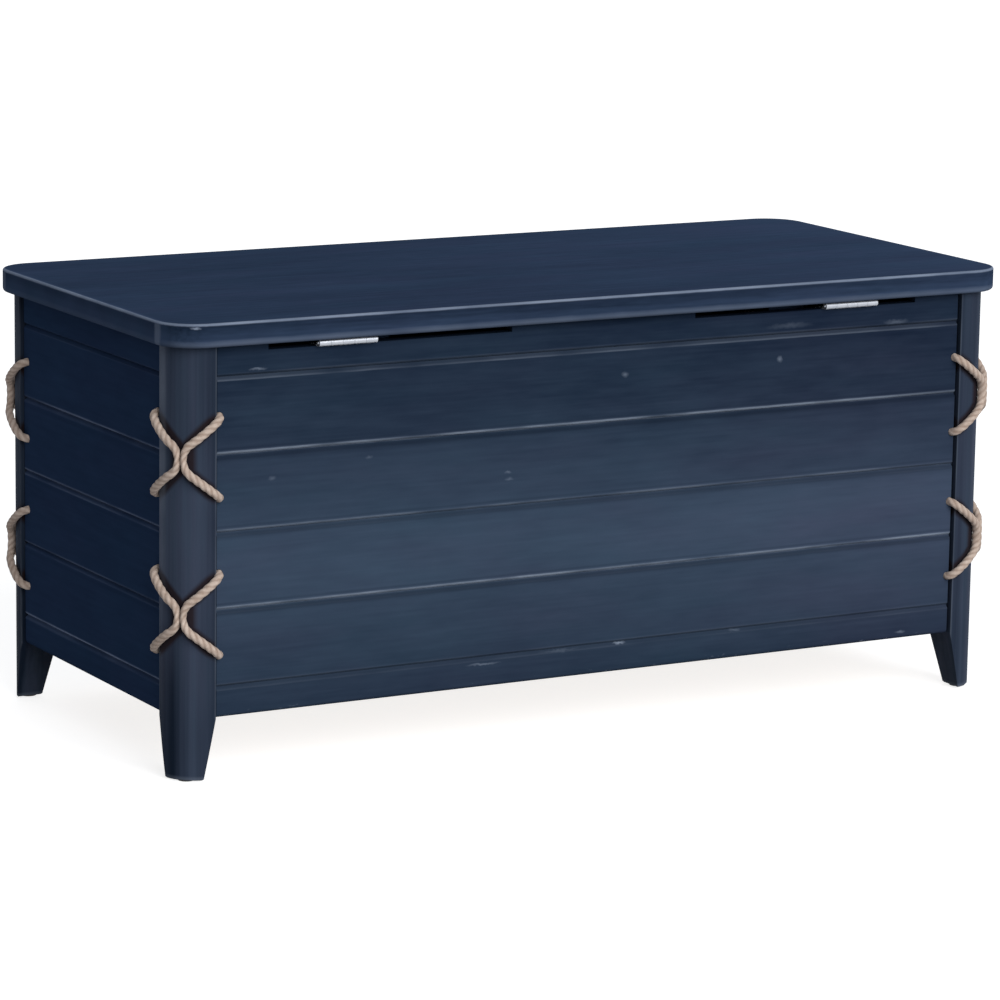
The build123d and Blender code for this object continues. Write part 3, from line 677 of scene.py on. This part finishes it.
def lid_wear_and_highlights(tree, place, parts, away, from_end, inset, top_down):
    """Patchy pale lines on the lid's arrises, rubbed paint and painted highlight, the painted highlights
    at its corners, and its scuff.
    """
    waver = marks(tree, place, None, 22, 22, 2)
    rise = add(
        tree, "ShaderNodeMath", {0: parts.outputs["Z"], 1: lid_low.z / mm}, operation="SUBTRACT"
    )
    from_top_arris = add(tree, "ShaderNodeMath", {0: inset, 1: top_down}, operation="ADD")
    from_top_arris = mixed(tree, from_top_arris, ((waver, 0.8),))
    top_line = profile(tree, from_top_arris, ((0, 0.75), (2.2, 0.62), (2.9, 0.2), (3.8, 0)))
    from_low_arris = add(tree, "ShaderNodeMath", {0: inset, 1: rise}, operation="ADD")
    from_low_arris = mixed(tree, from_low_arris, ((waver, 1.5),))
    low_line = profile(tree, from_low_arris, ((0, 0.24), (4.5, 0.2), (7.5, 0.1), (9.5, 0)))
    # The lower arris line is weaker at the ends
    low_share = profile(tree, from_end, ((0, 0.3), (4, 0.35), (16, 1.0)))
    low_line = add(tree, "ShaderNodeMath", {0: low_line, 1: low_share}, operation="MULTIPLY")
    painted_corner_highlight = corner_highlight(tree, away, inset, waver)
    wear_and_painted_light = add(tree, "ShaderNodeMath", {0: top_line, 1: low_line}, operation="MAXIMUM")
    wear_and_painted_light = add(tree, "ShaderNodeMath", {0: wear_and_painted_light, 1: painted_corner_highlight}, operation="MAXIMUM")
    patchy = marks(tree, place, None, 90, 90, 2)
    patches = add(
        tree,
        "ShaderNodeMapRange",
        {"Value": patchy, "From Min": 0.3, "From Max": 0.6, "To Min": 0.6, "To Max": 1.0},
    )
    wear_and_painted_light = add(tree, "ShaderNodeMath", {0: wear_and_painted_light, 1: patches}, operation="MULTIPLY")
    spots = scuffed(tree, place, parts, lid_scuffs)
    return add(tree, "ShaderNodeMath", {0: wear_and_painted_light, 1: spots}, operation="MAXIMUM")


def lid_rubbing(tree, place, parts, from_end, top_down):
    """How far the lid is rubbed, with streaks along it that fade where its end faces would cut them."""
    by_depth = profile(
        tree,
        top_down,
        ((0, 0.52), (2.0, 0.48), (3.2, 0.12), (8, 0.16), (14, 0.3), (22, 0.38), (30, 0.35)),
    )
    along = profile(tree, parts.outputs["X"], ((-610, 0.47), (-100, 0.5), (200, 0.56), (610, 0.68)))
    by_end = profile(tree, from_end, ((0, 0.78), (3, 0.74), (8, 0.52), (16, 0.5)))
    streaks = marks(tree, place, "X", 190, 5, 3)
    streak_share = profile(tree, from_end, ((0, 0.03), (3, 0.06), (16, 0.4)))
    broad = marks(tree, place, "X", 320, 60, 1)
    smudges = marks(tree, place, "X", 30, 4, 2)
    smudge_share = profile(tree, from_end, ((0, 0.02), (3, 0.04), (16, 0.26)))
    return mixed(
        tree,
        by_depth,
        ((along, 1.0), (by_end, 1.0), (streaks, streak_share), (broad, 0.3), (smudges, smudge_share)),
    )


def make_lid_paint():
    """Chalk paint on the lid slab and its battens, brushed along the lid, with rubbed arrises that are
    partly painted highlights.
    """
    material, tree = new_material("chalk_paint_lid")
    place, parts = place_in_mm(tree)
    away = add(tree, "ShaderNodeVectorMath", {0: place}, operation="ABSOLUTE")
    inset = lid_inset(tree, away)
    away = add(tree, "ShaderNodeSeparateXYZ", {0: away})
    from_end = add(
        tree, "ShaderNodeMath", {0: lid_high.x / mm, 1: away.outputs["X"]}, operation="SUBTRACT"
    )
    top_down = add(
        tree, "ShaderNodeMath", {0: lid_high.z / mm, 1: parts.outputs["Z"]}, operation="SUBTRACT"
    )
    rubbing_and_painted_light = lid_rubbing(tree, place, parts, from_end, top_down)
    wear_and_painted_light = lid_wear_and_highlights(tree, place, parts, away, from_end, inset, top_down)
    hue = marks(tree, place, "X", 190, 55, 3)
    shader = paint_shader(tree, place, "X", rubbing_and_painted_light, wear_and_painted_light, hue, lid_colours)
    add(tree, "ShaderNodeOutputMaterial", {"Surface": shader})
    return material


def make_pine():
    """Planed pine of the box floor and cleats: warm yellow wood with brown growth lines and pores."""
    material, tree = new_material("planed_pine")
    place, _ = place_in_mm(tree)
    # The growth lines sway by up to 20 mm either way
    sway = marks(tree, place, "X", 400, 60, 1)
    swayed = add(
        tree,
        "ShaderNodeVectorMath",
        {0: sway.outputs["Color"], 1: (0, 40, 40), 2: place},
        operation="MULTIPLY_ADD",
    )
    rings = marks(tree, swayed, "X", 500, 7, 1)
    # Pores 0.9 mm wide, coarser than the real ones so that they show
    pores = marks(tree, place, "X", 30, 0.9, 2)
    tone = mixed(tree, 0.45, ((rings, 1.5), (pores, 0.35)))
    face = add(
        tree,
        "ShaderNodeMixRGB",
        {"Fac": tone, "Color1": linear("#dcbd8c"), "Color2": linear("#b98a55")},
    )
    relief = add(tree, "ShaderNodeBump", {"Height": tone, "Strength": 0.3, "Distance": 0.2 * mm})
    dull = mixed(tree, 0.6, ((rings, 0.2),))
    shader = add(
        tree,
        "ShaderNodeBsdfPrincipled",
        {"Base Color": face, "Roughness": dull, "Specular IOR Level": 0.3, "Normal": relief},
    )
    add(tree, "ShaderNodeOutputMaterial", {"Surface": shader})
    return material


def plated_steel(name, grain, codes, roughness):
    """Rolled and zinc-plated steel: silvery, with faint blotches and fine marks along its grain."""
    material, tree = new_material(name)
    place, _ = place_in_mm(tree)
    blotches = marks(tree, place, None, 7, 7, 2)
    # Rolling marks 0.5 mm wide, coarser than the real ones so that they show
    rolled = marks(tree, place, grain, 30, 0.5, 2)
    light, dark = [linear(code) for code in codes]
    face = add(tree, "ShaderNodeMixRGB", {"Fac": blotches, "Color1": light, "Color2": dark})
    dull = mixed(tree, roughness, ((blotches, 0.2), (rolled, 0.15)))
    relief = add(tree, "ShaderNodeBump", {"Height": rolled, "Strength": 0.2, "Distance": 0.05 * mm})
    shader = add(
        tree,
        "ShaderNodeBsdfPrincipled",
        {"Base Color": face, "Metallic": 1.0, "Roughness": dull, "Normal": relief},
    )
    add(tree, "ShaderNodeOutputMaterial", {"Surface": shader})
    return material


# Fibres of the rope, coarser than the real ones so that they show
fibre_length = 6 * mm
fibres_round = 22


def make_rope_fibre():
    """Soft laid cotton rope: matt, pale buff, with fluffy fibres that run along the strands."""
    material, tree = new_material("laid_cotton_rope")
    uv = add(tree, "ShaderNodeUVMap", uv_map="UVMap")
    parts = add(tree, "ShaderNodeSeparateXYZ", {0: uv})
    place, _ = place_in_mm(tree)
    # The strands run along the lines of equal second coordinate
    turn = add(tree, "ShaderNodeMath", {0: parts.outputs["Y"], 1: strand_count}, operation="MULTIPLY")
    share = add(tree, "ShaderNodeMath", {0: turn}, operation="FRACT")
    # Painted shade in the grooves between the strands, on top of the grooves in the mesh
    painted_groove_shade = add(tree, "ShaderNodeMath", {0: share, 1: 0.5}, operation="SUBTRACT")
    painted_groove_shade = add(tree, "ShaderNodeMath", {0: painted_groove_shade}, operation="ABSOLUTE")
    painted_groove_shade = add(tree, "ShaderNodeMapRange", {"Value": painted_groove_shade, "From Min": 0.36, "From Max": 0.0})
    per_fibre = (1 / fibre_length, fibres_round, 0)
    fibre_place = add(tree, "ShaderNodeVectorMath", {0: uv, 1: per_fibre}, operation="MULTIPLY")
    fibres = add(tree, "ShaderNodeTexNoise", {"Vector": fibre_place, "Scale": 1, "Detail": 2})
    mottle = marks(tree, place, None, 6, 6, 2)
    broad = marks(tree, place, None, 30, 30, 1)
    tone = mixed(tree, 0.68, ((fibres, 0.6), (mottle, 0.9), (broad, 0.5)))
    painted_groove_shade = add(tree, "ShaderNodeMath", {0: painted_groove_shade, 1: 0.45}, operation="MULTIPLY")
    face = add(
        tree,
        "ShaderNodeMixRGB",
        {"Fac": tone, "Color1": linear("#957b68"), "Color2": linear("#dac8ba")},
    )
    face = add(
        tree,
        "ShaderNodeMixRGB",
        {"Fac": painted_groove_shade, "Color1": face, "Color2": linear("#7a5c4a")},
    )
    height = mixed(tree, 0.5, ((fibres, 0.8), (mottle, 0.4)))
    relief = add(tree, "ShaderNodeBump", {"Height": height, "Strength": 0.5, "Distance": 0.35 * mm})
    dull = mixed(tree, 0.9, ((fibres, 0.1),))
    shader = add(
        tree,
        "ShaderNodeBsdfPrincipled",
        {
            "Base Color": face,
            "Roughness": dull,
            "Specular IOR Level": 0.15,
            "Sheen Weight": 0.1,
            "Sheen Roughness": 0.6,
            "Normal": relief,
        },
    )
    add(tree, "ShaderNodeOutputMaterial", {"Surface": shader})
    return material


def moulded(name, codes, grit, roughness):
    """Moulded rubber or nylon: dark and dull, with grit from its mould and a little dust.

    The grit is about a millimetre wide, coarser than the real one so that it shows.
    """
    material, tree = new_material(name)
    place, _ = place_in_mm(tree)
    pits = marks(tree, place, None, grit, grit, 2)
    dust = marks(tree, place, None, 8, 8, 2)
    clean, dusty = [linear(code) for code in codes]
    face = add(tree, "ShaderNodeMixRGB", {"Fac": dust, "Color1": clean, "Color2": dusty})
    relief = add(tree, "ShaderNodeBump", {"Height": pits, "Strength": 0.3, "Distance": 0.1 * mm})
    dull = mixed(tree, roughness, ((dust, 0.2),))
    shader = add(
        tree, "ShaderNodeBsdfPrincipled", {"Base Color": face, "Roughness": dull, "Normal": relief}
    )
    add(tree, "ShaderNodeOutputMaterial", {"Surface": shader})
    return material


post_paint = make_post_paint()
lid_paint = make_lid_paint()
long_board_paint = make_long_board_paint()
end_board_paint = make_end_board_paint()
slots = {
    "bare_wood": make_pine(),
    "hinge_steel": plated_steel("zinc_plated_hinges", "X", ("#b9bcc2", "#9fa4ad"), 0.42),
    "stay_steel": plated_steel("zinc_plated_stays", "Z", ("#c4c7ca", "#a9aeb5"), 0.38),
    "screw_steel": plated_steel("zinc_plated_screws", "X", ("#c6c4bd", "#a7a7a6"), 0.36),
    "rope": make_rope_fibre(),
    "bumper_rubber": moulded("moulded_rubber", ("#1b1b1c", "#2d2c2b"), 0.8, 0.8),
    "glide_plastic": moulded("moulded_nylon", ("#29241f", "#38322b"), 1.2, 0.55),
}


def finish_of(name, slot):
    """The material of a node, from its slot and, for the paint, from what it is part of."""
    if slot != "navy_paint":
        return slots[slot]
    if name.endswith("_post"):
        return post_paint
    if name.startswith("lid_"):
        return lid_paint
    if name.startswith(("left_", "right_")):
        return end_board_paint
    return long_board_paint


for part in frame["record"]["subparts"]:
    for material_slot in frame["nodes"][part["node"]].material_slots:
        material_slot.material = finish_of(part["node"], part["material_slot"])


def half_rope(face, angle, hole_z, middle_z):
    """Points of half a rope, from its tail to the middle: across its face, out from the round, up."""
    direction = 1 if hole_z > middle_z else -1
    hole_across = rope_hole_insets[face] - post_round
    strand_z = middle_z + direction * rope_meeting
    side_share = post_round * angle / 2 / (hole_across + post_round * angle)
    side_z = strand_z + (hole_z - strand_z) * side_share
    side_radius = post_round + rope_side_slack
    strand_radius = post_round + rope_slack
    half_size = -post_low.y if face == "long" else -post_low.x
    wall_out = post_round - half_size - (inner_y if face == "long" else inner_x)
    knot_across = -hole_across - knot_shift[face]
    knot_count = int(knot_turns * knot_points)
    knot = []
    for step in range(knot_count + 1):
        turn = direction * 2 * math.pi * step / knot_points
        depth = knot_depth + (knot_last_depth - knot_depth) * step / knot_count
        knot.append(
            (
                knot_across - knot_wrap * math.cos(turn),
                wall_out - depth,
                hole_z + knot_wrap * math.sin(turn),
            )
        )
    last = Vector(knot[-1])
    tail = [
        last + Vector((across, out, direction * up)) * knot_tail for across, out, up in knot_tail_bends
    ]
    return [
        *tail[::-1],
        *knot[::-1],
        (knot_across, wall_out - knot_depth, hole_z),
        (-hole_across, wall_out + rope_in_hole, hole_z),
        (-hole_across, post_round + rope_lift, hole_z),
        (side_radius * math.sin(angle / 2), side_radius * math.cos(angle / 2), side_z),
        (strand_radius * math.sin(angle), strand_radius * math.cos(angle), strand_z),
    ]


def spline_points(points):
    """Points along one smooth curve with the given control points, at even steps."""
    curve = bpy.data.curves.new("route", "CURVE")
    curve.dimensions = "3D"
    curve.resolution_u = route_resolution
    spline = curve.splines.new("NURBS")
    spline.points.add(len(points) - 1)
    for point, place in zip(spline.points, points):
        point.co = (*place, 1)
    spline.order_u = 3
    spline.use_endpoint_u = True
    route = bpy.data.objects.new("route", curve)
    line = bpy.data.meshes.new_from_object(route)
    dense = [vertex.co.copy() for vertex in line.vertices]
    bpy.data.objects.remove(route)
    bpy.data.meshes.remove(line)
    total = sum((b - a).length for a, b in zip(dense, dense[1:]))
    count = round(total / rope_ring_step)
    step = total / count
    places = [dense[0]]
    walked = 0.0
    for a, b in zip(dense, dense[1:]):
        length = (b - a).length
        while walked + length >= step * len(places) and len(places) < count:
            places.append(a.lerp(b, (step * len(places) - walked) / length))
        walked += length
    places.append(dense[-1])
    return places, total


def strand_reach(turn):
    """How far the rope's surface stands from its middle, as a share of its radius, at a turn."""
    pitch = 2 * math.pi / strand_count
    off = (turn + pitch / 2) % pitch - pitch / 2
    side = strand_share * math.sin(off)
    return strand_share * math.cos(off) + math.sqrt((1 - strand_share) ** 2 - side * side)


def add_rope(name, points, squeeze_at, squeeze_along, press):
    """A laid rope along the points, squeezed and pressed onto the post near one place."""
    places, total = spline_points(points)
    count = len(places)
    bpy.ops.object.select_all(action="DESELECT")
    bpy.ops.mesh.primitive_grid_add(
        x_subdivisions=count - 1, y_subdivisions=rope_sides, size=1, calc_uvs=True
    )
    rope = bpy.context.object
    rope.name = name
    # Frames carried along the line without turning
    ahead = places[1:] + places[-1:]
    behind = places[:1] + places[:-1]
    tangents = [(far - near).normalized() for far, near in zip(ahead, behind)]
    normal = tangents[0].orthogonal().normalized()
    normals = []
    for tangent in tangents:
        normal = (normal - tangent * normal.dot(tangent)).normalized()
        normals.append(normal)
    step = total / (count - 1)
    mesh = rope.data
    uv_layer = mesh.uv_layers[0]
    for loop in mesh.loops:
        place = mesh.vertices[loop.vertex_index].co
        ring = round((place.x + 0.5) * (count - 1))
        side = round((place.y + 0.5) * rope_sides)
        lay_turn = ring * step / strand_lay
        uv_layer.data[loop.index].uv = (ring * step, side / rope_sides - lay_turn)
    for vertex in mesh.vertices:
        ring = round((vertex.co.x + 0.5) * (count - 1))
        side = round((vertex.co.y + 0.5) * rope_sides)
        turn = 2 * math.pi * side / rope_sides
        lay_turn = 2 * math.pi * ring * step / strand_lay
        from_end = min(ring, count - 1 - ring) * step
        reach = rope_radius * strand_reach(turn - lay_turn)
        in_knot = 1 - min(max((from_end - knot_rope_length) / knot_fade, 0), 1)
        reach *= 1 - in_knot * (1 - knot_squeeze)
        if from_end < rope_radius:
            reach *= math.sqrt(1 - (1 - from_end / rope_radius) ** 2)
        across = tangents[ring].cross(normals[ring])
        offset = (normals[ring] * math.cos(turn) + across * math.sin(turn)) * reach
        nearness = 1 - min((places[ring] - squeeze_at).length / squeeze_reach, 1)
        flatness = nearness * nearness * (3 - 2 * nearness) * (1 - rope_squeeze)
        offset -= squeeze_along * offset.dot(squeeze_along) * flatness
        outward = squeeze_along.cross(Vector((0, 0, 1)))
        offset += outward * (offset.dot(outward) * rope_bulge * flatness)
        if in_knot == 0:
            offset += press * nearness
        vertex.co = places[ring] + offset
    bpy.ops.object.mode_set(mode="EDIT")
    bpy.ops.mesh.select_all(action="SELECT")
    bpy.ops.mesh.remove_doubles(threshold=weld_distance)
    bpy.ops.mesh.normals_make_consistent(inside=False)
    bpy.ops.object.mode_set(mode="OBJECT")
    bpy.ops.object.shade_smooth()
    return rope


def add_lashings():
    """Both lashings of every post, joined into one piece a post."""
    meeting_half = math.asin((rope_radius * rope_squeeze) / (post_round + rope_slack))
    meeting_angle = math.pi / 4 + meeting_offset / post_round
    angles = {"long": meeting_angle - meeting_half, "end": math.pi / 2 - meeting_angle - meeting_half}
    round_x = post_low.x + post_round
    round_y = post_low.y + post_round
    corners = {
        "back_left": (1, 1),
        "back_right": (-1, 1),
        "front_left": (1, -1),
        "front_right": (-1, -1),
    }
    for corner, (end, side) in corners.items():
        ropes = []
        for level, (upper_drop, lower_drop) in lashing_drops.items():
            joint = joint_1 + level * plank_height
            top_z = joint + plank_height / 2 - upper_drop
            low_z = joint - plank_height / 2 - lower_drop
            middle_z = (top_z + low_z) / 2
            for face, angle in angles.items():
                upper = half_rope(face, angle, top_z, middle_z)
                lower = half_rope(face, angle, low_z, middle_z)
                points = []
                for across, out, up in upper + lower[::-1]:
                    x, y = (across, out) if face == "long" else (out, across)
                    points.append(Vector((end * (round_x - x), side * (round_y - y), up)))
                middle = Vector(points[len(upper) - 1])
                middle.z = middle_z
                out_way = Vector((middle.x - end * round_x, middle.y - side * round_y, 0))
                along = Vector((0, 0, 1)).cross(out_way).normalized()
                press = -out_way.normalized() * rope_press
                ropes.append(add_rope(f"{corner}_{face}_rope_{level}", points, middle, along, press))
        bpy.ops.object.select_all(action="DESELECT")
        for rope in ropes:
            rope.select_set(True)
        bpy.context.view_layer.objects.active = ropes[0]
        bpy.ops.object.join()
        lashing = bpy.context.object
        lashing.name = f"{corner}_ropes"
        lashing.data.materials.append(slots["rope"])
        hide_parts(f"{corner}_lashings")
        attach(lashing, "case")


def shown_white(tree):
    """1 for the rays that show the background: from the camera, from gloss and through glass."""
    path = add(tree, "ShaderNodeLightPath")
    shown = add(
        tree,
        "ShaderNodeMath",
        {0: path.outputs["Is Camera Ray"], 1: path.outputs["Is Glossy Ray"]},
        operation="ADD",
    )
    return add(
        tree,
        "ShaderNodeMath",
        {0: shown, 1: path.outputs["Is Transmission Ray"]},
        operation="ADD",
        use_clamp=True,
    )


def add_floor():
    """A pale studio floor that reads white where nothing shades it."""
    bpy.ops.object.select_all(action="DESELECT")
    bpy.ops.mesh.primitive_plane_add(size=floor_size, location=(0, 0, 0))
    floor = bpy.context.object
    floor.name = "floor"
    material, tree = new_material("pale_floor")
    matte = add(tree, "ShaderNodeBsdfDiffuse", {"Color": linear("#c4c4c4")})
    level = add(tree, "ShaderNodeMath", {0: shown_white(tree), 1: floor_glow}, operation="MULTIPLY")
    glow = add(tree, "ShaderNodeEmission", {"Color": (1, 1, 1, 1), "Strength": level})
    both = add(tree, "ShaderNodeAddShader", {0: matte, 1: glow})
    add(tree, "ShaderNodeOutputMaterial", {"Surface": both})
    material.cycles.emission_sampling = "NONE"
    floor.data.materials.append(material)


def soft_sun(name, toward, spread, strength):
    """An even soft light from a direction."""
    light = bpy.data.objects.new(name, bpy.data.lights.new(name, "SUN"))
    bpy.context.scene.collection.objects.link(light)
    light.data.angle = math.radians(spread)
    light.data.energy = strength
    light.rotation_euler = Vector(toward).to_track_quat("Z", "Y").to_euler()


def add_lights():
    """A soft key and fill, and a pale world that shows white behind the chest."""
    world = bpy.data.worlds.new("studio")
    bpy.context.scene.world = world
    world.use_nodes = True
    tree = world.node_tree
    tree.nodes.clear()
    soft = add(tree, "ShaderNodeBackground", {"Color": world_colour, "Strength": world_level})
    white = add(tree, "ShaderNodeBackground", {"Color": (1, 1, 1, 1), "Strength": 1.0})
    mix = add(tree, "ShaderNodeMixShader", {0: shown_white(tree), 1: soft, 2: white})
    add(tree, "ShaderNodeOutputWorld", {"Surface": mix})
    soft_sun("key", *key_light)
    soft_sun("fill", *fill_light)


add_camera()
add_lashings()
add_floor()
add_lights()

bpy.context.scene.view_settings.view_transform = "Standard"
